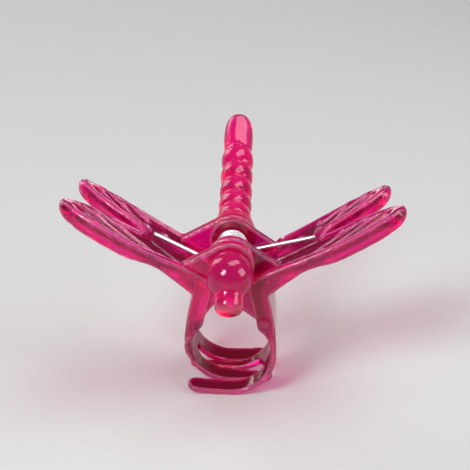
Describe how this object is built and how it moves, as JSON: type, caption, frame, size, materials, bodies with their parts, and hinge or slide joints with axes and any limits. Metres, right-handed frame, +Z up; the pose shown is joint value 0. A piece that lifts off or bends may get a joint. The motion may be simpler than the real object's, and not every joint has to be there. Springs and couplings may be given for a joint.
{
  "type": "orchid clip",
  "caption": "Clear plastic dragonfly spring clip: squeezing the wings opens crossing claws that hold an orchid stem to its stake.",
  "frame": {"origin": "centre of the round grip, half way along the hinge", "axes": "+X towards the right wings, +Y along the hinge towards the tail, +Z up from the grip to the wings"},
  "size_m": [0.0658, 0.057, 0.0419],
  "materials": {
    "clear_plastic": "polished clear polystyrene, tinted magenta",
    "spring_steel": "bright drawn spring wire"
  },
  "bodies": {
    "body_side": {"body_half": "clear_plastic", "torsion_spring": "spring_steel"},
    "plain_side": {"plain_half": "clear_plastic"}
  },
  "joints": [
    {"name": "jaw_hinge", "type": "hinge", "parent": "body_side", "child": "plain_side", "pos_m": [0, 0, 0.01925], "axis": [0, -1, 0], "range_deg": [0, 60], "stiffness_Nm_per_rad": 0.02, "springref_deg": -57.3, "deforming": ["torsion_spring"]}
  ]
}
